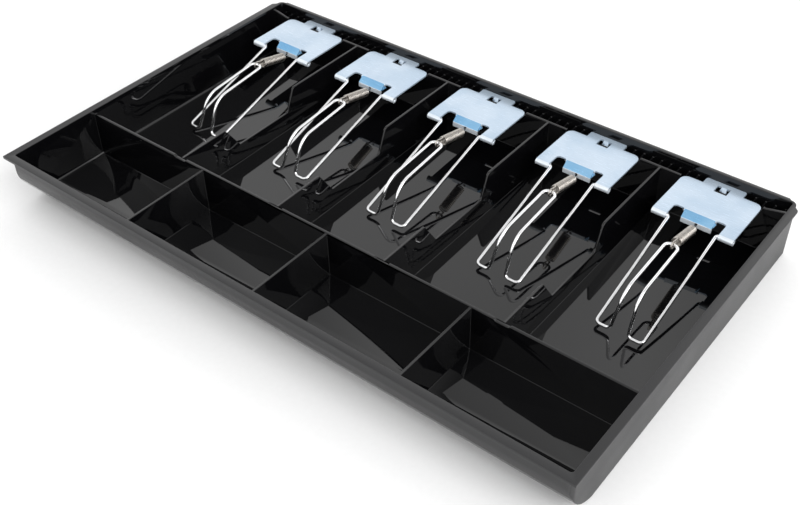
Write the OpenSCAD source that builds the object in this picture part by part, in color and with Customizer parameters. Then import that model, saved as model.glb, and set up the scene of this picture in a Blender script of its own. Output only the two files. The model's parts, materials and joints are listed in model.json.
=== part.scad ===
// Cash tray of a till drawer: one moulded tray with note and coin compartments,
// and a sprung note clip in each note compartment.
// Origin: middle of the underside. +X right, +Y towards the clips, +Z up.

/* [Tray] */
// Length over the rim, left to right
tray_length = 405; // [380:1:450]
// Depth over the rim, coin side to clip side
tray_depth = 248; // [235:1:280]
// Height from the table to the top of the rim
tray_height = 37; // [34:0.5:50]
// Thickness of the outer walls
wall = 2.4; // [1.8:0.1:3]
// Thickness of the floor
floor_thickness = 2.2; // [1.5:0.1:3]
// Height of the recess under the floor
foot_height = 1; // [1:0.1:3]
// Radius of the scooped lower front edge, outside
scoop_radius = 30; // [12:1:32]

/* [Rim] */
// Width of the rim at the sides
rim_side = 5; // [4:0.1:7]
// Width of the rim along the front
rim_front = 5.2; // [4:0.1:8]
// Width of the rim along the back
rim_back = 2.8; // [2.6:0.1:6]
// Thickness of the rim
rim_thickness = 2; // [1.2:0.1:3]
// Length cut off each rear corner
corner_cut = 8.3; // [0:0.1:12]

/* [Compartments] */
// Number of coin compartments
coin_count = 4; // [2:1:8]
// Distance from the rim's front edge to the middle of the cross wall
cross_wall_offset = 67.9; // [55:0.1:80]
// Drop of the cross wall's top below the rim
cross_wall_drop = 3.4; // [2:0.1:8]
// Drop of the coin dividers' tops below the rim
coin_divider_drop = 3.8; // [2:0.1:8]
// Drop of the note dividers' tops below the rim
note_divider_drop = 4.5; // [3:0.1:8]
// Thickness of the cross wall
cross_wall_thickness = 2; // [1.5:0.1:3]
// Thickness of the dividers
divider_thickness = 1.6; // [1.2:0.1:2.5]
// Height of the low edge in the finger cut-outs
cutout_height = 16.2; // [10:0.1:22]

/* [Clip rail] */
// Distance from the rim's back edge to the rear face of the rail
rail_offset = 10; // [8:0.1:14]
// Thickness of the rail
rail_thickness = 2; // [1.5:0.1:3]
// Drop of the seats, where the clip plates lie, below the rim
seat_drop = 6.5; // [5:0.1:8]
// Width of each rib behind the rail
rib_thickness = 1; // [0.8:0.1:2]
// Number of rib spaces to one note compartment
ribs_per_note = 13; // [6:1:15]
// Depth of the rib channel below the seats
channel_depth = 6; // [3:0.5:10]

/* [Clip plate] */
// Offset of each clip and its seat from the middle of its compartment
clip_shift = [0, -3.2, -3.4, 0, 0]; // [-4:0.1:4]
// Thickness of the plate's sheet steel
sheet = 1; // [0.8:0.1:1.2]
// Width of the plate
plate_width = 50.4; // [46:0.1:56]
// Width of the tab at the back of the plate
tab_width = 25.4; // [20:0.1:32]
// Width of the tongue that holds the spring
tongue_width = 19; // [14:0.1:22]
// Length of each rolled knuckle
knuckle_length = 9; // [6:0.1:10]

/* [Clip wire] */
// Diameter of the wire
wire_d = 2; // [1.8:0.1:2.2]
// Clearance between the wire and the knuckle's bore, all round
pin_clearance = 0.06; // [0.02:0.01:0.1]
// Distance from the hinge to the front loops
wire_reach = 78.5; // [70:0.5:90]
// Height of the front loops' wire above the floor
loop_clearance = 3; // [2:0.1:5]

/* [Clip spring] */
// Outer diameter of the coil
spring_d = 6.2; // [5:0.1:6.4]
// Diameter of the spring's wire
spring_wire_d = 0.8; // [0.6:0.1:1]

/* [Hidden] */
$fn = 48;

tray_black = [0.10, 0.10, 0.11];
zinc_blue = [0.76, 0.83, 0.90];
bright_wire = [0.86, 0.87, 0.88];
spring_grey = [0.70, 0.69, 0.66];

// One clip to each note compartment; the list of nodes names five
note_count = 5;

// Where the tray's faces stand
rim_left = -tray_length / 2;
front_edge = -tray_depth / 2;
back_edge = tray_depth / 2;
inner_half = tray_length / 2 - rim_side;
inner_front = front_edge + rim_front;
inner_back = back_edge - rim_back;
back_wall = 1.5;
outer_half = inner_half + wall;
outer_front = inner_front - wall;
outer_back = inner_back + back_wall;
floor_top = foot_height + floor_thickness;
corner_radius = 4;
small_radius = 2;

// Foot that runs round the recess under the floor
foot_width = 4;
recess_front = outer_front + scoop_radius + foot_width;
recess_back = outer_back - foot_width;

cross_wall_y = front_edge + cross_wall_offset;
cross_wall_back = cross_wall_y + cross_wall_thickness / 2;
note_pitch = 2 * inner_half / note_count;
coin_pitch = 2 * inner_half / coin_count;
note_divider_top = tray_height - note_divider_drop;

// Finger cut-out of the note dividers, along Y
cutout_front = cross_wall_back + 36.6;
cutout_slope = 11;
cutout_back = 44;
cutout_lean = 5;
cutout_radius = 3;

// Shallow dips in the cross wall above the note dividers
dip_width = 10;
dip_depth = 1;

// Rail and channel
rail_back = back_edge - rail_offset;
rail_front = rail_back - rail_thickness;
seat_top = tray_height - seat_drop;
seat_margin = 0.6;
rail_ramp = 12;
rail_ramp_rise = 2.5;
channel_floor = seat_top - channel_depth;

// Plate
plate_top = seat_top + sheet;
plate_back = rail_back + 1.2;
plate_depth = 38.2;
plate_corner = 4.5;
tab_back = inner_back - 0.2;
knuckle_bore_r = wire_d / 2 + pin_clearance;
knuckle_r = knuckle_bore_r + sheet;
knuckle_sink = 0.05;
hinge_y = plate_back - plate_depth;
hinge_z = plate_top - knuckle_r - knuckle_sink;
knuckle_gap = 0.7;
knuckle_inner = plate_width / 2 - knuckle_length;
notch_back = hinge_y + 9.8;
notch_radius = 2;

// Barb that hooks the plate behind the rail, and the hole that it leaves
catch_half = 4;
catch_front = rail_front - 1;
catch_back = rail_back + 3.5;
barb_half = 3.2;
barb_length = 4;
barb_root = 0.4;
barb_tilt = 65;
barb_room = 1;

// Tongue: a slope and a turned-down lip, with a slot up their middle, and a bar across the slot
tongue_root = [notch_back, plate_top - sheet / 2];
tongue_angle = 38;
tongue_slope = 5.8;
lip_angle = 84;
lip_length = 3.2;
lip_top = tongue_root - tongue_slope * [cos(tongue_angle), sin(tongue_angle)];
slot_half = 1.4;
slot_height = 2;
bar_r = 0.7;
bar_inset = 0.5;
bar_half = 2.4;

// Spring, from the bar on the tongue to the arch of the wire
anchor = lip_top - (lip_length - bar_inset) * [cos(lip_angle), sin(lip_angle)];
arch = [53, 31.4];
spring_length = norm(arch - anchor);
spring_rise = atan2(arch.y - anchor.y, anchor.x - arch.x);
eye_r = spring_d / 2 - spring_wire_d / 2;
loop_r = eye_r - 0.1;
neck_length = 0.9;

// The front loop of the spring is long, so that the wire's arch can travel in it
loop_front = 0.4;
loop_back = 4.4;

// Wire: corner points of one half, from the pin to the arch
loop_y = hinge_y - wire_reach;
loop_z = floor_top + loop_clearance;
arm_root_x = 14.8;
loop_outer_x = 14.4;
loop_inner_x = 5.4;
knee_x = 4.2;
knee_back = 10;
knee_drop = 3.5;
arch_half = 4;
pin_inset = 0.5;
half_corners = [
    [plate_width / 2 - pin_inset, hinge_y, hinge_z],
    [arm_root_x, hinge_y, hinge_z],
    [loop_outer_x, loop_y, loop_z],
    [loop_inner_x, loop_y, loop_z],
    [knee_x, loop_y + knee_back, arch.y - knee_drop],
    [arch_half, arch.x, arch.y]
];
half_bends = [0, 1.4, 2.8, 2.8, 15, 3.2];
wire_corners = concat(half_corners, [for (p = backwards(half_corners)) [-p.x, p.y, p.z]]);
wire_bends = concat(half_bends, backwards(half_bends));

// A bend is drawn this much thinner than the rods, and the rods run this far into it
bend_thinning = 0.02;
bend_overlap = 0.1;

function unit(v) = v / norm(v);
function backwards(list) = [for (i = [len(list) - 1 : -1 : 0]) list[i]];

// Points along an arc, from angle a0 to a1
function arc(centre, r, a0, a1, steps = 8) = [
    for (i = [0 : steps]) centre + r * [cos(a0 + (a1 - a0) * i / steps), sin(a0 + (a1 - a0) * i / steps)]
];

function clip_x(index) = (index - (note_count + 1) / 2) * note_pitch + clip_shift[index - 1];

// Extrudes a Y-Z outline along X, centred on x = 0
module along_x(length) {
    translate([-length / 2, 0, 0])
        rotate([90, 0, 90])
            linear_extrude(length) children();
}

// Extrudes an X-Z outline along Y, from y0 to y1
module along_y(y0, y1) {
    translate([0, y1, 0])
        rotate([90, 0, 0])
            linear_extrude(y1 - y0) children();
}

// Upright rectangle whose two lower corners are rounded
module round_bottom(left, right, bottom, top, r_left, r_right) {
    polygon([
        [left, top],
        [left, bottom + r_left],
        [left + r_left, bottom],
        [right - r_right, bottom],
        [right, bottom + r_right],
        [right, top]
    ]);
    translate([left + r_left, bottom + r_left]) circle(r_left);
    translate([right - r_right, bottom + r_right]) circle(r_right);
}

// Flat rectangle with four rounded corners
module round_plan(left, right, front, back, r) {
    translate([left + r, front]) square([right - left - 2 * r, back - front]);
    translate([left, front + r]) square([right - left, back - front - 2 * r]);
    for (x = [left + r, right - r], y = [front + r, back - r]) translate([x, y]) circle(r);
}

// Tub with upright walls, a scooped front and small radii elsewhere
module tub(half_length, front, back, bottom, top, scoop, corner) {
    intersection() {
        along_x(2 * half_length) round_bottom(front, back, bottom, top, scoop, small_radius);
        along_y(front, back)
            round_bottom(-half_length, half_length, bottom, top, small_radius, small_radius);
        translate([0, 0, bottom])
            linear_extrude(top - bottom) round_plan(-half_length, half_length, front, back, corner);
    }
}

module rim() {
    translate([0, 0, tray_height - rim_thickness])
        linear_extrude(rim_thickness)
            polygon([
                [rim_left, front_edge],
                [-rim_left, front_edge],
                [-rim_left, back_edge - corner_cut],
                [-rim_left - corner_cut, back_edge],
                [rim_left + corner_cut, back_edge],
                [rim_left, back_edge - corner_cut]
            ]);
}

module cross_wall() {
    difference() {
        translate([-outer_half, cross_wall_y - cross_wall_thickness / 2, 0])
            cube([2 * outer_half, cross_wall_thickness, tray_height - cross_wall_drop]);
        for (i = [1 : note_count - 1])
            translate([-inner_half + i * note_pitch, 0, tray_height - cross_wall_drop])
                along_y(cross_wall_y - cross_wall_thickness, cross_wall_y + cross_wall_thickness)
                    polygon([
                        [-dip_width / 2, 1],
                        [-dip_width / 2, 0],
                        [-dip_width / 2 + dip_depth, -dip_depth],
                        [dip_width / 2 - dip_depth, -dip_depth],
                        [dip_width / 2, 0],
                        [dip_width / 2, 1]
                    ]);
    }
}

module coin_dividers() {
    for (i = [1 : coin_count - 1])
        translate([-inner_half + i * coin_pitch - divider_thickness / 2, front_edge, 0])
            cube([divider_thickness, cross_wall_offset, tray_height - coin_divider_drop]);
}

// Outline of a note divider, with its low finger cut-out
module note_divider_outline() {
    polygon(concat(
        [
            [cross_wall_y, 0],
            [cross_wall_y, note_divider_top],
            [cutout_front, note_divider_top],
            [cutout_front + cutout_slope, cutout_height]
        ],
        arc([cutout_back - cutout_lean - cutout_radius, cutout_height + cutout_radius],
            cutout_radius, -90, -20),
        arc([cutout_back + cutout_radius, note_divider_top - cutout_radius],
            cutout_radius, 160, 90),
        [
            [rail_back, note_divider_top],
            [rail_back, 0]
        ]
    ));
}

module note_dividers() {
    for (i = [1 : note_count - 1])
        translate([-inner_half + i * note_pitch, 0, 0])
            along_x(divider_thickness) note_divider_outline();
}

// Rail that carries the clip plates, with a low seat for each plate
module clip_rail() {
    difference() {
        along_y(rail_front, rail_back)
            polygon([
                [-outer_half, 0],
                [-outer_half, note_divider_top + rail_ramp_rise],
                [-inner_half, note_divider_top + rail_ramp_rise],
                [-inner_half + rail_ramp, note_divider_top],
                [inner_half - rail_ramp, note_divider_top],
                [inner_half, note_divider_top + rail_ramp_rise],
                [outer_half, note_divider_top + rail_ramp_rise],
                [outer_half, 0]
            ]);
        for (i = [1 : note_count])
            translate([clip_x(i) - plate_width / 2 - seat_margin, rail_front - 1, seat_top])
                cube([plate_width + 2 * seat_margin, rail_thickness + 2, note_divider_drop + seat_drop]);
    }
}

// Raised bed behind the rail, with a comb of ribs across it that leaves room for the barbs
module rib_channel() {
    rib_count = note_count * ribs_per_note;
    rib_pitch = 2 * inner_half / rib_count;
    translate([-outer_half, rail_front, 0])
        cube([2 * outer_half, back_edge - rail_front, channel_floor]);
    difference() {
        for (i = [0 : rib_count - 1])
            translate([-inner_half + (i + 0.5) * rib_pitch - rib_thickness / 2, rail_front, 0])
                cube([rib_thickness, back_edge - rail_front, seat_top]);
        for (i = [1 : note_count])
            translate([clip_x(i) - catch_half, rail_back, channel_floor])
                cube([2 * catch_half, catch_back - rail_back + barb_room, 2 * channel_depth]);
    }
}

// Hollow under the floor and under the rib channel
module underside() {
    half = outer_half - foot_width;
    translate([-half, recess_front, -1])
        cube([2 * half, recess_back - recess_front, foot_height + 1]);
    translate([-half, rail_back, -1])
        cube([2 * half, recess_back - rail_back, channel_floor - wall + 1]);
}

module tray() {
    color(tray_black)
        difference() {
            union() {
                tub(outer_half, outer_front, outer_back, 0, tray_height, scoop_radius, corner_radius);
                rim();
            }
            difference() {
                tub(inner_half, inner_front, inner_back, floor_top, tray_height + 1,
                    scoop_radius - wall, corner_radius - wall);
                cross_wall();
                coin_dividers();
                note_dividers();
                clip_rail();
                rib_channel();
            }
            underside();
        }
}

// Flat outline of the clip plate, without the tongue and the knuckles
module plate_outline() {
    half = plate_width / 2;
    difference() {
        union() {
            round_plan(-half, half, hinge_y + plate_corner, plate_back, plate_corner);
            translate([-half, hinge_y]) square([plate_width, plate_back - hinge_y - plate_corner]);
            translate([-tab_width / 2, plate_back - 1]) square([tab_width, tab_back - plate_back + 1]);
        }
        round_plan(-knuckle_inner, knuckle_inner, hinge_y - notch_radius - 1, notch_back, notch_radius);
        translate([-catch_half, catch_front]) square([2 * catch_half, catch_back - catch_front]);
    }
}

module knuckles() {
    for (side = [-1, 1])
        translate([side * (knuckle_inner + knuckle_length / 2), hinge_y, hinge_z])
            difference() {
                rotate([0, 90, 0]) cylinder(r = knuckle_r, h = knuckle_length, center = true);
                rotate([0, 90, 0]) cylinder(r = knuckle_bore_r, h = knuckle_length + 1, center = true);
                rotate([45, 0, 0])
                    translate([-knuckle_length, -knuckle_gap / 2, -2 * knuckle_r])
                        cube([2 * knuckle_length, knuckle_gap, 2 * knuckle_r]);
            }
}

// Side view of a strip that runs forward and down from a point
module strip(from, angle, length) {
    translate(from)
        rotate(180 + angle)
            translate([0, -sheet / 2]) square([length, sheet]);
    translate(from) circle(d = sheet);
}

module tongue() {
    difference() {
        along_x(tongue_width) {
            strip(tongue_root, tongue_angle, tongue_slope);
            strip(lip_top, lip_angle, lip_length);
        }
        translate([-slot_half, lip_top.x - 2 * sheet, lip_top.y + slot_height - tongue_slope])
            cube([2 * slot_half, tongue_slope, tongue_slope]);
    }
    translate([0, anchor.x, anchor.y])
        rotate([0, 90, 0]) cylinder(r = bar_r, h = 2 * bar_half, center = true);
}

// Barb, cut from the middle of the plate and bent down behind the rail
module barb() {
    translate([0, catch_back, plate_top - sheet])
        rotate([barb_tilt, 0, 0])
            linear_extrude(sheet)
                polygon([[-barb_half, barb_root], [barb_half, barb_root], [0, -barb_length]]);
}

module clip_plate(index) {
    color(zinc_blue)
        translate([clip_x(index), 0, 0]) {
            translate([0, 0, plate_top - sheet]) linear_extrude(sheet) plate_outline();
            knuckles();
            tongue();
            barb();
        }
}

// Straight rod between two points
module rod(from, to, r) {
    span = to - from;
    translate(from)
        rotate([0, acos(span.z / norm(span)), atan2(span.y, span.x)])
            cylinder(r = r, h = norm(span));
}

// Round bend that joins the two rods meeting at a corner
module bend(before, corner, after, bend_r, r) {
    incoming = unit(corner - before);
    outgoing = unit(after - corner);
    turn = acos(incoming * outgoing);
    inward = unit(outgoing - incoming);
    centre = corner + inward * bend_r / cos(turn / 2);
    start = unit(corner - incoming * bend_r * tan(turn / 2) - centre);
    normal = unit(cross(start, incoming));
    multmatrix([
        [start.x, incoming.x, normal.x, centre.x],
        [start.y, incoming.y, normal.y, centre.y],
        [start.z, incoming.z, normal.z, centre.z],
        [0, 0, 0, 1]
    ])
        rotate_extrude(angle = turn) translate([bend_r, 0]) circle(r - bend_thinning);
}

// Length that a bend takes off the rods on both sides of its corner
function setback(points, bends, i) =
    bends[i] == 0 ? 0
    : bends[i] * tan(acos(unit(points[i] - points[i - 1]) * unit(points[i + 1] - points[i])) / 2)
        - bend_overlap;

// Wire along a list of corner points, with a bend radius at each corner
module bent_wire(points, bends, r) {
    last = len(points) - 1;
    for (i = [0 : last - 1]) {
        along = unit(points[i + 1] - points[i]);
        rod(points[i] + along * setback(points, bends, i),
            points[i + 1] - along * setback(points, bends, i + 1), r);
    }
    for (i = [1 : last - 1]) bend(points[i - 1], points[i], points[i + 1], bends[i], r);
}

module clip_wire(index) {
    color(bright_wire)
        translate([clip_x(index), 0, 0]) bent_wire(wire_corners, wire_bends, wire_d / 2);
}

// Extension spring: its coil's envelope, an eye at the back and a long loop at the front
module clip_spring(index) {
    coil_start = eye_r + neck_length;
    coil_end = spring_length - loop_back;
    loop_end = spring_length + loop_front;
    color(spring_grey)
        translate([clip_x(index), anchor.x, anchor.y])
            rotate([90 - spring_rise, 0, 0]) {
                translate([0, 0, coil_start]) cylinder(d = spring_d, h = coil_end - coil_start);
                translate([0, 0, eye_r]) cylinder(d = spring_wire_d, h = neck_length + 0.5);
                rotate([0, 90, 0])
                    rotate_extrude() translate([eye_r, 0]) circle(d = spring_wire_d);
                translate([0, 0, loop_end])
                    rotate([0, -90, 0])
                        rotate([0, 0, -90])
                            rotate_extrude(angle = 180) translate([loop_r, 0]) circle(d = spring_wire_d);
                for (side = [-1, 1])
                    translate([0, side * loop_r, coil_end - 0.5])
                        cylinder(d = spring_wire_d, h = loop_end - coil_end + 0.5);
            }
}

tray();
for (i = [1 : note_count]) {
    clip_plate(i);
    clip_wire(i);
    clip_spring(i);
}
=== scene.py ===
import json
import math

import bmesh
import bpy
from mathutils import Matrix, Vector
from mathutils.geometry import delaunay_2d_cdt


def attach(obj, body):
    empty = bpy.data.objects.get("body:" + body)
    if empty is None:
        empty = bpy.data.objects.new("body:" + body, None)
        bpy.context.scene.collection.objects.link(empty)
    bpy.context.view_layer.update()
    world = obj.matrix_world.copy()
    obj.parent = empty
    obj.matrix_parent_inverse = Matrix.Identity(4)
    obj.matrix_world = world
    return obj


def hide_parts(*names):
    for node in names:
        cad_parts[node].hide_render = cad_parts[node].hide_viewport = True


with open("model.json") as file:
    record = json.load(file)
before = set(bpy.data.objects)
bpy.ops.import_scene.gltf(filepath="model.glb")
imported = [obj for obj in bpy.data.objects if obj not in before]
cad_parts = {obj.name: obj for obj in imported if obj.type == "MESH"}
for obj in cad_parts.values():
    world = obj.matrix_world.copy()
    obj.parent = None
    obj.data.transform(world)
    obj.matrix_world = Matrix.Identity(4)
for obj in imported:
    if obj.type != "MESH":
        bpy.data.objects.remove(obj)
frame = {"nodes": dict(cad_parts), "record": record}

# Cash tray of a till drawer: a black moulded tray, and five note clips, each a pressed steel
# plate, a bent wire and a spring. Shapes are worked out in millimetres and made in metres.

MM = 0.001
CLIPS = range(1, 6)
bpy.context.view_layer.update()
record = frame["record"]
nodes = frame["nodes"]


# ---------------------------------------------------------------- small helpers

def joint_point(name):
    """Where a joint's axis crosses the middle of its clip, in millimetres."""
    joint = next(j for j in record["behaviour"]["joints"] if j["name"] == name)
    return Vector(joint["pos_m"]) / MM


def add_object(name, mesh, materials=()):
    piece = bpy.data.objects.new(name, mesh)
    bpy.context.scene.collection.objects.link(piece)
    for material in materials:
        mesh.materials.append(material)
    return piece


def mesh_from_bmesh(name, bm):
    mesh = bpy.data.meshes.new(name)
    bm.to_mesh(mesh)
    bm.free()
    return mesh


def finish_shape(piece):
    """Turns an object with modifiers into a plain mesh, with what they do worked in."""
    bpy.context.view_layer.update()
    depsgraph = bpy.context.evaluated_depsgraph_get()
    mesh = bpy.data.meshes.new_from_object(piece.evaluated_get(depsgraph), depsgraph=depsgraph)
    piece.modifiers.clear()
    piece.data = mesh
    mesh.name = piece.name
    return piece


def add_bevel(piece, width, segments, angle=30):
    bevel = piece.modifiers.new("rounded_edges", "BEVEL")
    bevel.width = width * MM
    bevel.segments = segments
    bevel.limit_method = "ANGLE"
    bevel.angle_limit = math.radians(angle)
    bevel.harden_normals = True
    bevel.use_clamp_overlap = True
    bevel.miter_outer = "MITER_ARC"


# ---------------------------------------------------------------- shader groups

def new_group(name, inputs, outputs):
    """An empty shader group of plain numbers. Inputs are (name, default) pairs, outputs are names."""
    group = bpy.data.node_groups.new(name, "ShaderNodeTree")
    for label, default in inputs:
        socket = group.interface.new_socket(name=label, in_out="INPUT", socket_type="NodeSocketFloat")
        socket.default_value = default
    for label in outputs:
        group.interface.new_socket(name=label, in_out="OUTPUT", socket_type="NodeSocketFloat")
    return group, group.nodes.new("NodeGroupInput"), group.nodes.new("NodeGroupOutput")


def add_node(tree, kind, settings=None, **inputs):
    """Adds a node, sets its properties, and sets or links its inputs.

    An input is named with underscores for spaces, or _0, _1 and so on for its place in the list."""
    node = tree.nodes.new(kind)
    for key, value in (settings or {}).items():
        setattr(node, key, value)
    for key, value in inputs.items():
        socket = node.inputs[int(key[1:])] if key[0] == "_" else node.inputs[key.replace("_", " ")]
        if isinstance(value, bpy.types.NodeSocket):
            tree.links.new(value, socket)
        else:
            socket.default_value = value
    return node


def math_node(tree, operation, *values, clamp=False):
    node = tree.nodes.new("ShaderNodeMath")
    node.operation = operation
    node.use_clamp = clamp
    for socket, value in zip(node.inputs, values):
        if isinstance(value, bpy.types.NodeSocket):
            tree.links.new(value, socket)
        else:
            socket.default_value = value
    return node.outputs[0]


def map_range(tree, value, low, high, to_low, to_high):
    node = add_node(tree, "ShaderNodeMapRange", {"interpolation_type": "SMOOTHSTEP"},
                    Value=value, From_Min=low, From_Max=high, To_Min=to_low, To_Max=to_high)
    return node.outputs["Result"]


def mix_colour(tree, factor, first, second):
    node = tree.nodes.new("ShaderNodeMix")
    node.data_type = "RGBA"
    for socket, value in ((node.inputs[0], factor), (node.inputs[6], first), (node.inputs[7], second)):
        if isinstance(value, bpy.types.NodeSocket):
            tree.links.new(value, socket)
        else:
            socket.default_value = value
    return node.outputs[2]


def moulded_grain_group():
    """Fine pebbled texture of a sparked mould: a height, and a patchy mask for the roughness."""
    group, source, sink = new_group(
        "moulded_grain", [("Grain Size", 0.5), ("Patchiness", 0.3)], ["Height", "Patches"])
    place = add_node(group, "ShaderNodeTexCoord").outputs["Object"]
    scale = math_node(group, "DIVIDE", 1 / MM, source.outputs["Grain Size"])
    pebbles = add_node(group, "ShaderNodeTexVoronoi", {"feature": "SMOOTH_F1"}, Vector=place, Scale=scale)
    pits = add_node(group, "ShaderNodeTexNoise", Vector=place, Scale=scale, Detail=3.0, Roughness=0.6)
    height = math_node(group, "ADD", pebbles.outputs["Distance"], pits.outputs["Fac"])
    group.links.new(height, sink.inputs["Height"])
    clouds = add_node(group, "ShaderNodeTexNoise", Vector=place, Scale=24.0, Detail=4.0, Roughness=0.55)
    patches = math_node(group, "MULTIPLY", clouds.outputs["Fac"], source.outputs["Patchiness"])
    group.links.new(patches, sink.inputs["Patches"])
    return group


def polish_group():
    """A polished face: slow ripples, a faint haze, and hairline rubs in all directions."""
    group, source, sink = new_group("polish", [("Haze", 0.5), ("Rubs", 0.5)], ["Height", "Dulling"])
    place = add_node(group, "ShaderNodeTexCoord").outputs["Object"]
    ripples = add_node(group, "ShaderNodeTexNoise", Vector=place, Scale=16.0, Detail=1.0)
    haze = add_node(group, "ShaderNodeTexNoise", Vector=place, Scale=45.0, Detail=5.0, Roughness=0.6)
    haze_mask = map_range(group, haze.outputs["Fac"], 0.45, 0.75, 0.0, 1.0)
    warped = add_node(group, "ShaderNodeTexNoise", Vector=place, Scale=30.0, Detail=2.0)
    bent = add_node(group, "ShaderNodeVectorMath", {"operation": "MULTIPLY_ADD"},
                    _0=warped.outputs["Color"], _1=(0.02, 0.02, 0.02), _2=place)
    rub_masks = []
    for turn in (25, 115, 70):
        turned = add_node(group, "ShaderNodeMapping", Vector=bent.outputs["Vector"],
                          Rotation=(0, 0, math.radians(turn)), Scale=(1.0, 90.0, 1.0))
        lines = add_node(group, "ShaderNodeTexNoise", Vector=turned.outputs["Vector"],
                         Scale=14.0, Detail=2.0)
        rub_masks.append(map_range(group, lines.outputs["Fac"], 0.66, 0.72, 0.0, 1.0))
    rubs = math_node(group, "MAXIMUM", math_node(group, "MAXIMUM", rub_masks[0], rub_masks[1]), rub_masks[2])
    dulling = math_node(group, "ADD",
                        math_node(group, "MULTIPLY", haze_mask, source.outputs["Haze"]),
                        math_node(group, "MULTIPLY", rubs, source.outputs["Rubs"]), clamp=True)
    group.links.new(dulling, sink.inputs["Dulling"])
    height = math_node(group, "SUBTRACT", ripples.outputs["Fac"], math_node(group, "MULTIPLY", rubs, 0.02))
    group.links.new(height, sink.inputs["Height"])
    return group


def rolled_sheet_group():
    """Rolled and plated sheet: long fine streaks, slow clouds in the colour, and small stains."""
    group, source, sink = new_group(
        "rolled_sheet", [("Streak Length", 30.0)], ["Streaks", "Clouds", "Stains"])
    place = add_node(group, "ShaderNodeTexCoord").outputs["Object"]
    stretch = add_node(group, "ShaderNodeCombineXYZ", X=1.0, Y=source.outputs["Streak Length"], Z=6.0)
    drawn = add_node(group, "ShaderNodeVectorMath", {"operation": "MULTIPLY"},
                     _0=place, _1=stretch.outputs["Vector"])
    streaks = add_node(group, "ShaderNodeTexNoise", Vector=drawn.outputs["Vector"], Scale=120.0,
                       Detail=4.0, Roughness=0.7)
    clouds = add_node(group, "ShaderNodeTexNoise", Vector=place, Scale=38.0, Detail=3.0, Roughness=0.5)
    stains = add_node(group, "ShaderNodeTexNoise", Vector=place, Scale=260.0, Detail=3.0, Roughness=0.65)
    group.links.new(streaks.outputs["Fac"], sink.inputs["Streaks"])
    group.links.new(clouds.outputs["Fac"], sink.inputs["Clouds"])
    group.links.new(map_range(group, stains.outputs["Fac"], 0.62, 0.72, 0.0, 1.0), sink.inputs["Stains"])
    return group


GROUPS = {
    "grain": moulded_grain_group(),
    "polish": polish_group(),
    "sheet": rolled_sheet_group(),
}


# ---------------------------------------------------------------- materials

def new_material(name, **constants):
    """A material with one Principled shader, and its fixed values set on the shader itself."""
    material = bpy.data.materials.new(name)
    material.use_nodes = True
    tree = material.node_tree
    shader = tree.nodes["Principled BSDF"]
    for key, value in constants.items():
        shader.inputs[key.replace("_", " ")].default_value = value
    return material, tree, shader


def place_group(tree, name, **values):
    node = tree.nodes.new("ShaderNodeGroup")
    node.node_tree = GROUPS[name]
    for key, value in values.items():
        node.inputs[key.replace("_", " ")].default_value = value
    return node


def add_bump(tree, shader, height, strength, distance):
    bump = add_node(tree, "ShaderNodeBump", Height=height, Strength=strength, Distance=distance * MM)
    tree.links.new(bump.outputs["Normal"], shader.inputs["Normal"])


def polished_plastic():
    material, tree, shader = new_material("polished_black_plastic", IOR=1.5)
    polish = place_group(tree, "polish", Haze=0.2, Rubs=0.25)
    dulling = polish.outputs["Dulling"]
    tree.links.new(mix_colour(tree, dulling, (0.0025, 0.0025, 0.003, 1), (0.006, 0.006, 0.0065, 1)),
                   shader.inputs["Base Color"])
    tree.links.new(map_range(tree, dulling, 0.0, 1.0, 0.025, 0.16), shader.inputs["Roughness"])
    add_bump(tree, shader, polish.outputs["Height"], 0.25, 0.08)
    return material


def textured_plastic():
    material, tree, shader = new_material("textured_black_plastic", IOR=1.5)
    grain = place_group(tree, "grain", Grain_Size=0.45, Patchiness=0.5)
    patches = grain.outputs["Patches"]
    tree.links.new(mix_colour(tree, patches, (0.010, 0.010, 0.011, 1), (0.018, 0.018, 0.019, 1)),
                   shader.inputs["Base Color"])
    tree.links.new(map_range(tree, patches, 0.0, 0.5, 0.36, 0.5), shader.inputs["Roughness"])
    add_bump(tree, shader, grain.outputs["Height"], 0.5, 0.05)
    return material


def plated_sheet(name, dull, clear, metal):
    """Zinc with a milky blue passivation, between a dull and a clear tint. It also makes a bluer copy that
    holds a painted reflection, and a lighter copy that holds a painted highlight.
    """
    material, tree, shader = new_material(name, Metallic=metal)
    sheet = place_group(tree, "sheet", Streak_Length=28.0)
    cloud_mask = map_range(tree, sheet.outputs["Clouds"], 0.35, 0.65, 0.0, 1.0)
    base = mix_colour(tree, cloud_mask, dull, clear)
    colour = mix_colour(tree, math_node(tree, "MULTIPLY", sheet.outputs["Stains"], 0.15), base,
                        (0.34, 0.40, 0.48, 1))
    tree.links.new(colour, shader.inputs["Base Color"])
    roughness = map_range(tree, sheet.outputs["Streaks"], 0.3, 0.7, 0.22, 0.28)
    tree.links.new(roughness, shader.inputs["Roughness"])
    add_bump(tree, shader, sheet.outputs["Streaks"], 0.06, 0.01)
    return material


def plated_wire():
    material, tree, shader = new_material("bright_plated_wire", Metallic=1.0)
    sheet = place_group(tree, "sheet", Streak_Length=0.2)
    tree.links.new(mix_colour(tree, sheet.outputs["Clouds"], (0.86, 0.86, 0.87, 1), (0.94, 0.94, 0.95, 1)),
                   shader.inputs["Base Color"])
    roughness = map_range(tree, sheet.outputs["Streaks"], 0.3, 0.7, 0.10, 0.18)
    tree.links.new(roughness, shader.inputs["Roughness"])
    add_bump(tree, shader, sheet.outputs["Streaks"], 0.15, 0.01)
    return material


def spring_wire():
    material, tree, shader = new_material("spring_wire", Metallic=1.0)
    sheet = place_group(tree, "sheet", Streak_Length=1.0)
    tree.links.new(mix_colour(tree, sheet.outputs["Clouds"], (0.40, 0.37, 0.34, 1), (0.54, 0.51, 0.47, 1)),
                   shader.inputs["Base Color"])
    roughness = map_range(tree, sheet.outputs["Streaks"], 0.3, 0.7, 0.2, 0.34)
    tree.links.new(roughness, shader.inputs["Roughness"])
    add_bump(tree, shader, sheet.outputs["Streaks"], 0.2, 0.01)
    return material


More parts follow.
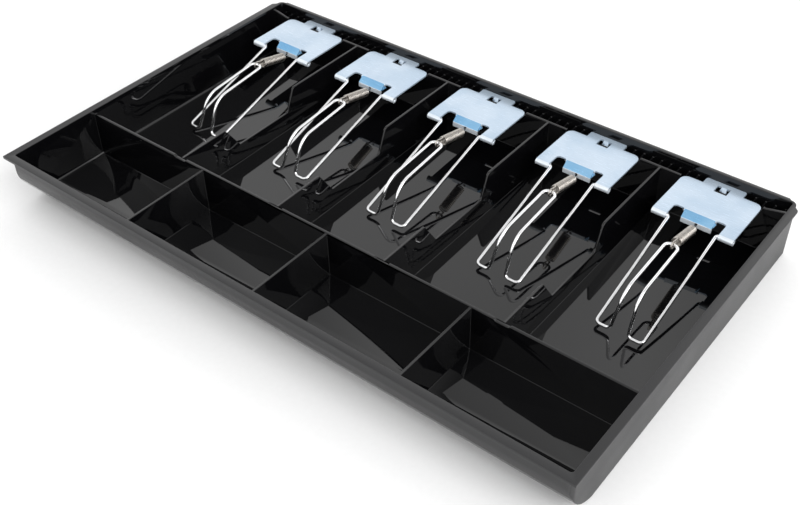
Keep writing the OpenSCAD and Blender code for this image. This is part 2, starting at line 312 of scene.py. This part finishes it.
POLISHED = polished_plastic()
TEXTURED = textured_plastic()
PLATED_SHEET = plated_sheet("blue_plated_sheet", (0.42, 0.52, 0.63, 1), (0.50, 0.59, 0.69, 1), 0.35)
# Bluer copy of the plated finish for the tongue's slope; the deeper blue is a painted reflection.
PLATED_SLOPE_PAINTED_REFLECTION = plated_sheet("blue_plated_slope_painted_reflection", (0.16, 0.38, 0.62, 1), (0.27, 0.50, 0.72, 1), 0.5)
# Lighter copy of the plated finish for the knuckle rolls, the tongue's bends and its lip; the lighter tone
# is a painted highlight.
PLATED_ROLL_PAINTED_HIGHLIGHT = plated_sheet("blue_plated_roll_painted_highlight", (0.72, 0.79, 0.86, 1), (0.80, 0.85, 0.90, 1), 0.4)
PLATED_WIRE = plated_wire()
SPRING_WIRE = spring_wire()


# ---------------------------------------------------------------- tray

TRAY_EDGE = 0.45          # radius on every edge and in every inside corner
TRAY_EDGE_STEPS = 3
INNER_HALF = 197.5        # half the clear length inside the walls
INNER_FRONT = -118.8
INNER_BACK = 121.2
FLOOR_TOP = 3.2
RIM_TOP = 37.0
INSIDE_MARGIN = 0.3
RIM_SKIN = 0.1
FACING_UP = 0.9           # least upward part of a level face's normal
WELD = 0.002
COPLANAR = 0.4            # degrees between faces that are merged into one


def faces_inside(centre, normal):
    """True where a face belongs to the polished inside of the tray."""
    return (abs(centre.x) < INNER_HALF + INSIDE_MARGIN
            and INNER_FRONT - INSIDE_MARGIN < centre.y < INNER_BACK + INSIDE_MARGIN
            and centre.z > FLOOR_TOP - INSIDE_MARGIN
            and not (centre.z > RIM_TOP - RIM_SKIN and normal.z > FACING_UP))


def make_tray():
    """The moulding: the CAD tray with rounded edges, polished inside and textured outside."""
    bm = bmesh.new()
    bm.from_mesh(nodes["tray"].data)
    bmesh.ops.remove_doubles(bm, verts=bm.verts, dist=WELD * MM)
    bmesh.ops.dissolve_limit(bm, angle_limit=math.radians(COPLANAR), verts=bm.verts, edges=bm.edges)
    for face in bm.faces:
        inside = faces_inside(face.calc_center_median() / MM, face.normal)
        face.material_index = 0 if inside else 1
        face.smooth = True
    mesh = mesh_from_bmesh("tray_moulding", bm)
    piece = add_object("tray_moulding", mesh, [POLISHED, TEXTURED])
    add_bevel(piece, TRAY_EDGE, TRAY_EDGE_STEPS)
    finish_shape(piece)
    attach(piece, "tray")
    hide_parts("tray")


# ---------------------------------------------------------------- clip plates

SHEET = 1.0               # thickness of the sheet steel
PLATE_EDGE = 0.14         # radius of the sheared edges
PLATE_EDGE_STEPS = 2
PLATE_EDGE_ANGLE = 40     # bends sharper than this are edges
PLATE_HALF = 25.2
TAB_HALF = 12.7
PLATE_DEPTH = 38.2        # from the hinge to the back of the plate
TAB_DEPTH = 44.0          # from the hinge to the back of the tab
PLATE_CORNER = 4.5
TAB_CORNER = 1.2
KNUCKLE_INNER = 16.2
KNUCKLE_R = 2.06          # outside of the rolled knuckle
KNUCKLE_TURN = 286        # degrees of roll
NOTCH_DEPTH = 9.8
NOTCH_CORNER = 2.0
TONGUE_HALF = 9.5
TONGUE_BEND_R = 1.7
TONGUE_SLOPE = 38
TONGUE_STRAIGHT = 4.2
LIP_BEND_R = 1.5
LIP_TURN = 46
LIP_LENGTH = 2.5
WINDOW_HALF = 0.9
WINDOW_HEIGHT = 1.9
WINDOW_SILL = 1.0         # strip of sheet below the window, which the spring hooks on
HOLE_HALF = 4.0
HOLE_FRONT = 34.0
HOLE_BACK = 40.5
BARB_ROOT_HALF = 1.5      # the barb hangs from the back of the hole, behind the tray's rail
BARB_TIP_HALF = 2.4
BARB_BEND_R = 1.2
BARB_TURN = 62
BARB_STRAIGHT = 2.6
BEND_STEP = 12            # degrees of bend to one strip of faces
FLATNESS = 0.05
EDGE_SLACK = 0.01
SHEET_COPLANAR = 1        # degrees between faces of the blank that are merged into one
SLOPE_FORWARD = 0.4       # least forward and upward parts of the normal on the tongue's slope
SLOPE_UP = 0.5


def arc_points(centre, radius, start, end, step=15):
    """Points along an arc, with angles in degrees."""
    count = max(1, round(abs(end - start) / step))
    angles = [math.radians(start + (end - start) * i / count) for i in range(count + 1)]
    return [(centre[0] + radius * math.cos(a), centre[1] + radius * math.sin(a)) for a in angles]


def rectangle(left, right, front, back):
    return [(left, front), (right, front), (right, back), (left, back)]


class SheetPath:
    """The line that a strip of sheet follows, as straight runs and bends in the Y-Z plane.

    Distance counts from the start point. Each run is (length, bend radius, turn in degrees): the
    radius is that of the top face, and a run with no turn is straight."""

    def __init__(self, start, heading, runs):
        self.parts = []
        point, angle, distance = Vector(start), math.radians(heading), 0.0
        for length, radius, turn in runs:
            turn = math.radians(turn)
            length = radius * abs(turn) if turn else length
            self.parts.append((distance, length, point.copy(), angle, radius, turn))
            point, angle = self.along(self.parts[-1], length)
            distance += length
        self.length = distance

    @staticmethod
    def along(part, distance):
        _, length, point, angle, radius, turn = part
        if not turn:
            return point + distance * Vector((math.cos(angle), math.sin(angle))), angle
        share = distance / length
        side = math.copysign(1, turn)
        centre = point + radius * side * Vector((-math.sin(angle), math.cos(angle)))
        new_angle = angle + turn * share
        return centre - radius * side * Vector((-math.sin(new_angle), math.cos(new_angle))), new_angle

    def point(self, distance):
        part = next((p for p in reversed(self.parts) if distance >= p[0]), self.parts[0])
        return self.along(part, distance - part[0])[0]

    def divisions(self):
        """Distances at which the strip needs a line of vertices across it."""
        marks = []
        for start, length, _, _, _, turn in self.parts:
            count = max(1, math.ceil(math.degrees(abs(turn)) / BEND_STEP))
            marks += [start + length * i / count for i in range(count + 1)]
        return sorted({round(m, 4) for m in marks})


def plate_outline(knuckle_length, tongue_length):
    """Outline of the flat blank. X is across, Y is the distance behind the hinge."""
    tongue_end = NOTCH_DEPTH - tongue_length
    notch_out = KNUCKLE_INNER - NOTCH_CORNER
    notch_in = TONGUE_HALF + NOTCH_CORNER
    right = [(TONGUE_HALF, tongue_end)]
    right += arc_points((notch_in, NOTCH_DEPTH - NOTCH_CORNER), NOTCH_CORNER, 180, 90)
    right += arc_points((notch_out, NOTCH_DEPTH - NOTCH_CORNER), NOTCH_CORNER, 90, 0)
    right += [(KNUCKLE_INNER, -knuckle_length), (PLATE_HALF, -knuckle_length)]
    right += arc_points((PLATE_HALF - PLATE_CORNER, PLATE_DEPTH - PLATE_CORNER), PLATE_CORNER, 0, 90)
    right += [(TAB_HALF, PLATE_DEPTH)]
    right += arc_points((TAB_HALF - TAB_CORNER, TAB_DEPTH - TAB_CORNER), TAB_CORNER, 0, 90)
    left = [(-x, y) for x, y in reversed(right)]
    return right + left


def inside_polygon(point, polygon):
    inside = False
    for (x0, y0), (x1, y1) in zip(polygon, polygon[1:] + polygon[:1]):
        if (y0 > point[1]) != (y1 > point[1]) and point[0] < x0 + (point[1] - y0) * (x1 - x0) / (y1 - y0):
            inside = not inside
    return inside


def flat_blank(outline, holes, cross_lines):
    """Triangles of a flat shape with holes, with an edge along each cross line."""
    points, edges = [], []
    for loop in [outline] + holes:
        first = len(points)
        points += loop
        edges += [(first + i, first + (i + 1) % len(loop)) for i in range(len(loop))]
    for start, end in cross_lines:
        edges.append((len(points), len(points) + 1))
        points += [start, end]
    verts, _, faces, *_ = delaunay_2d_cdt([Vector(p) for p in points], edges, [], 0, 1e-5, False)
    kept = []
    for face in faces:
        middle = sum((verts[i] for i in face), Vector((0, 0))) / len(face)
        if inside_polygon(middle, outline) and not any(inside_polygon(middle, h) for h in holes):
            kept.append(face)
    return verts, kept


def make_plate(index):
    """Pressed plate: two rolled knuckles, a sloping tongue with a turned-down lip, and a barb.

    The flat blank is cut out first, and then its strips are bent along their paths."""
    hinge = joint_point(f"wire_{index}_hinge")
    top = hinge.z + KNUCKLE_R
    knuckle = SheetPath((0, KNUCKLE_R), 180, [(0, KNUCKLE_R, KNUCKLE_TURN)])
    tongue = SheetPath((NOTCH_DEPTH, KNUCKLE_R), 180,
                       [(0, TONGUE_BEND_R, TONGUE_SLOPE), (TONGUE_STRAIGHT, 0, 0),
                        (0, LIP_BEND_R, LIP_TURN), (LIP_LENGTH, 0, 0)])
    sill = NOTCH_DEPTH - tongue.length + WINDOW_SILL
    window = rectangle(-WINDOW_HALF, WINDOW_HALF, sill, sill + WINDOW_HEIGHT)
    barb = SheetPath((HOLE_BACK, KNUCKLE_R), 180, [(0, BARB_BEND_R, BARB_TURN), (BARB_STRAIGHT, 0, 0)])
    barb_end = HOLE_BACK - barb.length
    catch_hole = [(-HOLE_HALF, HOLE_FRONT), (HOLE_HALF, HOLE_FRONT), (HOLE_HALF, HOLE_BACK),
                  (BARB_ROOT_HALF, HOLE_BACK), (BARB_TIP_HALF, barb_end), (-BARB_TIP_HALF, barb_end),
                  (-BARB_ROOT_HALF, HOLE_BACK), (-HOLE_HALF, HOLE_BACK)]
    lines = [((-TONGUE_HALF, NOTCH_DEPTH - d), (TONGUE_HALF, NOTCH_DEPTH - d)) for d in tongue.divisions()]
    lines += [((-BARB_ROOT_HALF, HOLE_BACK - d), (BARB_ROOT_HALF, HOLE_BACK - d))
              for d in barb.divisions()]
    for side in (-1, 1):
        lines += [((side * KNUCKLE_INNER, -d), (side * PLATE_HALF, -d)) for d in knuckle.divisions()]
    verts, faces = flat_blank(plate_outline(knuckle.length, tongue.length), [window, catch_hole], lines)

    bm = bmesh.new()
    placed = []
    for x, y in verts:
        if abs(x) > KNUCKLE_INNER - EDGE_SLACK and y < 0:
            bent = knuckle.point(-y)
        elif abs(x) < TONGUE_HALF + EDGE_SLACK and y < NOTCH_DEPTH:
            bent = tongue.point(NOTCH_DEPTH - y)
        elif abs(x) < BARB_TIP_HALF + EDGE_SLACK and barb_end - EDGE_SLACK < y < HOLE_BACK - EDGE_SLACK:
            bent = barb.point(HOLE_BACK - y)
        else:
            bent = Vector((y, KNUCKLE_R))
        placed.append(bm.verts.new((hinge.x + x, hinge.y + bent.x, hinge.z + bent.y)))
    for face in faces:
        bm.faces.new([placed[i] for i in face])
    bmesh.ops.recalc_face_normals(bm, faces=bm.faces)
    if sum((f.normal * f.calc_area() for f in bm.faces), Vector()).z < 0:
        bmesh.ops.reverse_faces(bm, faces=bm.faces)
    bmesh.ops.dissolve_limit(bm, angle_limit=math.radians(SHEET_COPLANAR), verts=bm.verts, edges=bm.edges)
    bmesh.ops.scale(bm, vec=(MM, MM, MM), verts=bm.verts)
    for face in bm.faces:
        centre = face.calc_center_median() / MM
        bent = centre.z < top - FLATNESS and centre.y < hinge.y + NOTCH_DEPTH
        # Faces of the tongue's slope take the bluer copy, a painted reflection.
        on_slope = (abs(centre.x - hinge.x) < TONGUE_HALF
                    and face.normal.y < -SLOPE_FORWARD and face.normal.z > SLOPE_UP)
        # Other bent faces take the lighter copy, a painted highlight; flat faces keep the plain finish.
        face.material_index = (1 if on_slope else 2) if bent else 0
        face.smooth = True

    piece = add_object(f"plate_{index}", mesh_from_bmesh(f"plate_{index}", bm),
                       [PLATED_SHEET, PLATED_SLOPE_PAINTED_REFLECTION, PLATED_ROLL_PAINTED_HIGHLIGHT])
    solid = piece.modifiers.new("sheet_thickness", "SOLIDIFY")
    solid.thickness = SHEET * MM
    solid.offset = -1
    solid.use_even_offset = True
    add_bevel(piece, PLATE_EDGE, PLATE_EDGE_STEPS, PLATE_EDGE_ANGLE)
    finish_shape(piece)
    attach(piece, "tray")
    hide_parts(f"clip_plate_{index}")


# ---------------------------------------------------------------- wires and springs

def swept_wire_tree():
    """Geometry nodes: rounds the corners of a chain of edges and sweeps a round section along it."""
    tree = bpy.data.node_groups.new("swept_wire", "GeometryNodeTree")
    tree.interface.new_socket(name="Geometry", in_out="INPUT", socket_type="NodeSocketGeometry")
    inputs = (("Wire Diameter", "Float"), ("Bend Steps", "Int"), ("Sides", "Int"), ("Finish", "Material"))
    for label, kind in inputs:
        tree.interface.new_socket(name=label, in_out="INPUT", socket_type="NodeSocket" + kind)
    tree.interface.new_socket(name="Geometry", in_out="OUTPUT", socket_type="NodeSocketGeometry")
    source = tree.nodes.new("NodeGroupInput")
    sink = tree.nodes.new("NodeGroupOutput")
    line = add_node(tree, "GeometryNodeMeshToCurve", Mesh=source.outputs["Geometry"])
    radius = add_node(tree, "GeometryNodeInputNamedAttribute", {"data_type": "FLOAT"}, Name="bend_radius")
    rounded = add_node(tree, "GeometryNodeFilletCurve", {"mode": "POLY"}, Curve=line.outputs["Curve"],
                       Count=source.outputs["Bend Steps"], Radius=radius.outputs["Attribute"],
                       Limit_Radius=True)
    half = add_node(tree, "ShaderNodeMath", {"operation": "MULTIPLY"},
                    _0=source.outputs["Wire Diameter"], _1=0.5)
    section = add_node(tree, "GeometryNodeCurvePrimitiveCircle", {"mode": "RADIUS"},
                       Resolution=source.outputs["Sides"], Radius=half.outputs["Value"])
    swept = add_node(tree, "GeometryNodeCurveToMesh", Curve=rounded.outputs["Curve"],
                     Profile_Curve=section.outputs["Curve"], Fill_Caps=True)
    smooth = add_node(tree, "GeometryNodeSetShadeSmooth", Geometry=swept.outputs["Mesh"])
    real = add_node(tree, "GeometryNodeRealizeInstances", Geometry=smooth.outputs["Geometry"])
    coated = add_node(tree, "GeometryNodeSetMaterial", Geometry=real.outputs["Geometry"],
                      Material=source.outputs["Finish"])
    tree.links.new(coated.outputs["Geometry"], sink.inputs["Geometry"])
    return tree


SWEPT_WIRE = swept_wire_tree()


def make_wire(name, points, radii, diameter, finish, bend_steps, sides):
    """A round wire through the points, in millimetres, with a bend radius at each point."""
    mesh = bpy.data.meshes.new(name)
    mesh.from_pydata([Vector(p) * MM for p in points], [(i, i + 1) for i in range(len(points) - 1)], [])
    attribute = mesh.attributes.new("bend_radius", "FLOAT", "POINT")
    attribute.data.foreach_set("value", [r * MM for r in radii])
    piece = add_object(name, mesh)
    modifier = piece.modifiers.new("swept_wire", "NODES")
    modifier.node_group = SWEPT_WIRE
    values = {"Wire Diameter": diameter * MM, "Bend Steps": bend_steps, "Sides": sides, "Finish": finish}
    for item in SWEPT_WIRE.interface.items_tree:
        if item.in_out == "INPUT" and item.name in values:
            modifier[item.identifier] = values[item.name]
    return finish_shape(piece)


WIRE_D = 2.0
WIRE_SIDES = 20
WIRE_BEND_STEPS = 10
WIRE_REACH = 78.5         # from the hinge to the front loops
LOOP_Z = 6.2
PIN_END = 24.7
ARM_ROOT_X = 14.8
LOOP_OUTER_X = 14.4
LOOP_INNER_X = 5.4
KNEE_X = 4.2
KNEE_BACK = 10.0
KNEE_DROP = 3.5
KNEE_BEND = 15
ROOT_BEND = 1.4
LOOP_BEND = 2.8
ARCH_BEND = 3.2
ARCH_HALF = 4.0
ARCH_Y = 53.0
ARCH_Z = 31.4


def make_clip_wire(index):
    """Bent wire: pin, outer arm, front loop, inner arm and half the arch, and the same mirrored."""
    hinge = joint_point(f"wire_{index}_hinge")
    loop_y = hinge.y - WIRE_REACH
    half = [
        ((PIN_END, hinge.y, hinge.z), 0),
        ((ARM_ROOT_X, hinge.y, hinge.z), ROOT_BEND),
        ((LOOP_OUTER_X, loop_y, LOOP_Z), LOOP_BEND),
        ((LOOP_INNER_X, loop_y, LOOP_Z), LOOP_BEND),
        ((KNEE_X, loop_y + KNEE_BACK, ARCH_Z - KNEE_DROP), KNEE_BEND),
        ((ARCH_HALF, ARCH_Y, ARCH_Z), ARCH_BEND),
    ]
    whole = half + [((-x, y, z), r) for (x, y, z), r in reversed(half)]
    points = [(hinge.x + x, y, z) for (x, y, z), _ in whole]
    radii = [r for _, r in whole]
    piece = make_wire(f"wire_{index}", points, radii, WIRE_D, PLATED_WIRE, WIRE_BEND_STEPS, WIRE_SIDES)
    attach(piece, f"wire_{index}")
    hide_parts(f"clip_wire_{index}")


COIL_D = 6.2
COIL_WIRE = 0.95
COIL_TURNS = 16.5         # the coil starts at its lowest point and ends at its highest
TURN_STEPS = 20
SPRING_SIDES = 10
COIL_START = 4.0          # from the middle of the rear hook to the coil
COIL_STOP = 4.4           # from the coil to the middle of the wire's arch
REAR_HOOK_R = 1.5
REAR_HOOK_ARC = (60, 300)
FRONT_HOOK_R = 2.2
FRONT_HOOK_ARC = (110, -150)
FRONT_PLAY = 0.6          # the front hook stands this far past the arch, which travels in it
HOOK_STEPS = 16
# Points of the wire between a hook and the coil: distance past the coil's end, sideways place, and
# height as a share of the coil's radius
LEAD_IN = ((-0.9, 0, -0.86), (-0.4, 0.4, -0.97))
LEAD_OUT = ((0.5, 0.3, 0.97), (1.2, 0, 0.84))


def hook(middle, radius, arc):
    """Part of a circle in the plane X-Z, with its arc's ends in degrees from +X."""
    start, end = arc
    angles = [math.radians(start + (end - start) * i / HOOK_STEPS) for i in range(HOOK_STEPS + 1)]
    return [Vector((middle + radius * math.cos(a), 0, radius * math.sin(a))) for a in angles]


def spring_path(length):
    """Centreline of the spring, from the rear hook's middle at X = 0 to the wire's arch at X = length."""
    mean_r = (COIL_D - COIL_WIRE) / 2
    coil_length = length - COIL_STOP - COIL_START
    steps = round(COIL_TURNS * TURN_STEPS)
    rear = hook(0, REAR_HOOK_R, REAR_HOOK_ARC)
    lead_in = [Vector((COIL_START + past, side, mean_r * share)) for past, side, share in LEAD_IN]
    coil = []
    for i in range(steps + 1):
        turn = math.pi + 2 * math.pi * COIL_TURNS * i / steps
        along = COIL_START + coil_length * i / steps
        coil.append(Vector((along, mean_r * math.sin(turn), mean_r * math.cos(turn))))
    lead_out = [Vector((length - COIL_STOP + past, side, mean_r * share)) for past, side, share in LEAD_OUT]
    front = hook(length + FRONT_PLAY, FRONT_HOOK_R, FRONT_HOOK_ARC)
    return rear + lead_in + coil + lead_out + front


def make_spring(index):
    """Extension spring from the sill of the tongue's window to the wire's arch."""
    pivot = joint_point(f"spring_{index}_pivot")
    reach, rise = pivot.y - ARCH_Y, ARCH_Z - pivot.z
    tilt = math.atan2(rise, reach)
    points = []
    for p in spring_path(math.hypot(reach, rise)):
        forward = p.x * math.cos(tilt) - p.z * math.sin(tilt)
        height = p.x * math.sin(tilt) + p.z * math.cos(tilt)
        points.append((pivot.x + p.y, pivot.y - forward, pivot.z + height))
    no_bends = [0] * len(points)
    piece = make_wire(f"spring_{index}", points, no_bends, COIL_WIRE, SPRING_WIRE, 1, SPRING_SIDES)
    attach(piece, f"spring_{index}")
    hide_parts(f"clip_spring_{index}")


make_tray()
for clip in CLIPS:
    make_plate(clip)
    make_clip_wire(clip)
    make_spring(clip)


# ---------------------------------------------------------------- floor, light and camera

FLOOR_HALF = 4.0


def make_floor():
    bm = bmesh.new()
    bmesh.ops.create_grid(bm, x_segments=1, y_segments=1, size=FLOOR_HALF)
    material, tree, shader = new_material("pale_floor", Roughness=0.7, Specular_IOR_Level=0.2)
    place = add_node(tree, "ShaderNodeTexCoord").outputs["Object"]
    paper = add_node(tree, "ShaderNodeTexNoise", Vector=place, Scale=300.0, Detail=3.0)
    tree.links.new(mix_colour(tree, paper.outputs["Fac"], (0.86, 0.86, 0.86, 1), (0.9, 0.9, 0.9, 1)),
                   shader.inputs["Base Color"])
    floor = add_object("floor", mesh_from_bmesh("floor", bm), [material])


HORIZON_STRENGTH = 1.4
OVERHEAD_STRENGTH = 0.7
DIMMING_START = 0.45      # height in the sky, as a sine, from which it grows dimmer


def make_world():
    """Even white surroundings, a little dimmer straight overhead."""
    world = bpy.data.worlds.new("white_studio")
    world.use_nodes = True
    tree = world.node_tree
    background = tree.nodes["Background"]
    direction = add_node(tree, "ShaderNodeTexCoord").outputs["Generated"]
    height = add_node(tree, "ShaderNodeSeparateXYZ", Vector=direction).outputs["Z"]
    shade = map_range(tree, height, DIMMING_START, 1.0, HORIZON_STRENGTH, OVERHEAD_STRENGTH)
    tree.links.new(shade, background.inputs["Strength"])
    background.inputs["Color"].default_value = (1, 1, 1, 1)
    bpy.context.scene.world = world


def add_soft_light(name, place, target, size, power):
    lamp = bpy.data.lights.new(name, "AREA")
    lamp.shape = "SQUARE"
    lamp.size = size
    lamp.energy = power
    light = bpy.data.objects.new(name, lamp)
    light.location = place
    light.rotation_euler = (Vector(target) - Vector(place)).to_track_quat("-Z", "Y").to_euler()
    bpy.context.scene.collection.objects.link(light)


CAMERA_PLACE = Vector((0.3274, -0.3992, 0.4268))
CAMERA_AZIMUTH = 38.74
CAMERA_ELEVATION = 40.90
CAMERA_ROLL = -1.02
CAMERA_LENS = 49.34
CAMERA_SENSOR = 36


def make_camera():
    data = bpy.data.cameras.new("camera")
    data.lens = CAMERA_LENS
    data.sensor_width = CAMERA_SENSOR
    camera = bpy.data.objects.new("camera", data)
    azimuth, elevation, roll = map(math.radians, (CAMERA_AZIMUTH, CAMERA_ELEVATION, CAMERA_ROLL))
    right = Vector((math.cos(azimuth), math.sin(azimuth), 0))
    back = Vector((math.sin(azimuth) * math.cos(elevation), -math.cos(azimuth) * math.cos(elevation),
                   math.sin(elevation)))
    up = back.cross(right)
    rolled_right = math.cos(roll) * right + math.sin(roll) * up
    rolled_up = math.cos(roll) * up - math.sin(roll) * right
    camera.matrix_world = Matrix((
        (rolled_right.x, rolled_up.x, back.x, CAMERA_PLACE.x),
        (rolled_right.y, rolled_up.y, back.y, CAMERA_PLACE.y),
        (rolled_right.z, rolled_up.z, back.z, CAMERA_PLACE.z),
        (0, 0, 0, 1)))
    bpy.context.scene.collection.objects.link(camera)
    bpy.context.scene.camera = camera


make_floor()
make_world()
add_soft_light("key_softbox", place=(1.2, -0.3, 1.2), target=(0, 0, 0), size=0.9, power=13)
make_camera()
bpy.context.scene.view_settings.view_transform = "Standard"
